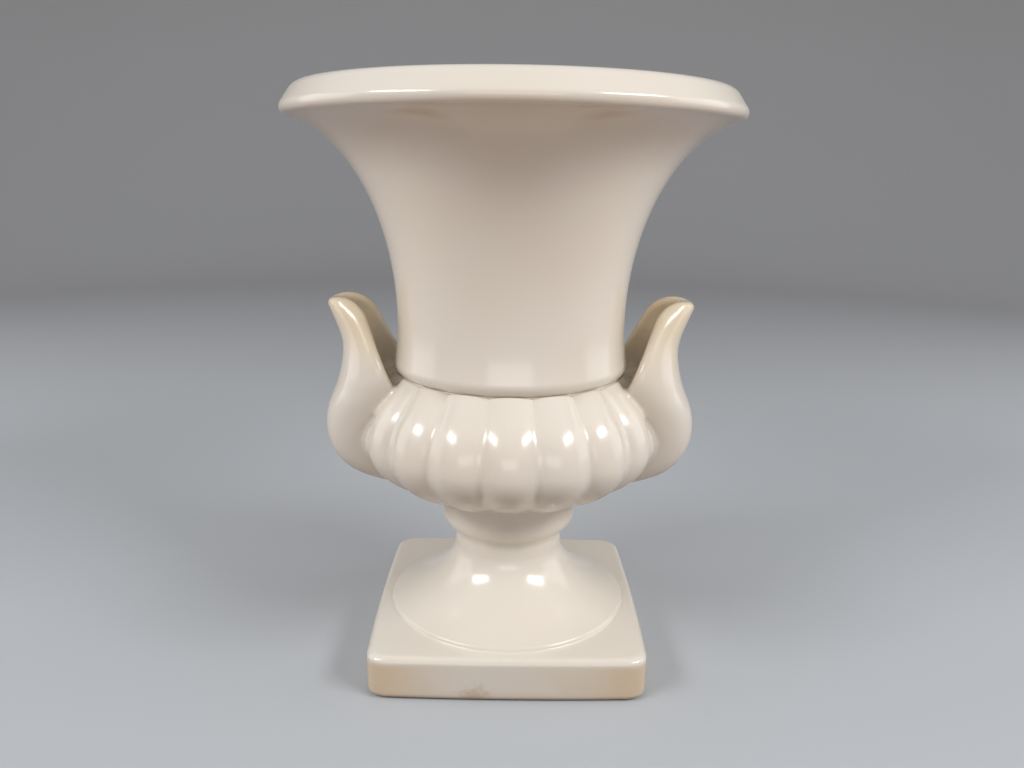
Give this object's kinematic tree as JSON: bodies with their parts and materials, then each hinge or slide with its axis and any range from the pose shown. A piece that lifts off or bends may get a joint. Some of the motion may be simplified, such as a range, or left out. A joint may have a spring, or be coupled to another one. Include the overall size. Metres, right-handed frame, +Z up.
{
  "type": "urn vase",
  "caption": "Glazed pottery urn vase with a flared neck, gadrooned bowl and cupped leaf handles, on a turned pedestal and square plinth; holds cut flowers.",
  "frame": {"origin": "middle of the plinth's underside, on the surface that the vase stands on", "axes": "+Z up along the vase's axis, -Y to the front, +X towards handle_right"},
  "size_m": [0.1578, 0.1578, 0.2065],
  "materials": {
    "ivory_glaze": "soft gloss",
    "cream_glaze": "soft gloss"
  },
  "bodies": {
    "root": {"neck": "ivory_glaze", "bowl": "ivory_glaze", "pedestal": "ivory_glaze", "plinth": "ivory_glaze", "handle_left": "cream_glaze", "handle_right": "cream_glaze"}
  },
  "joints": []
}
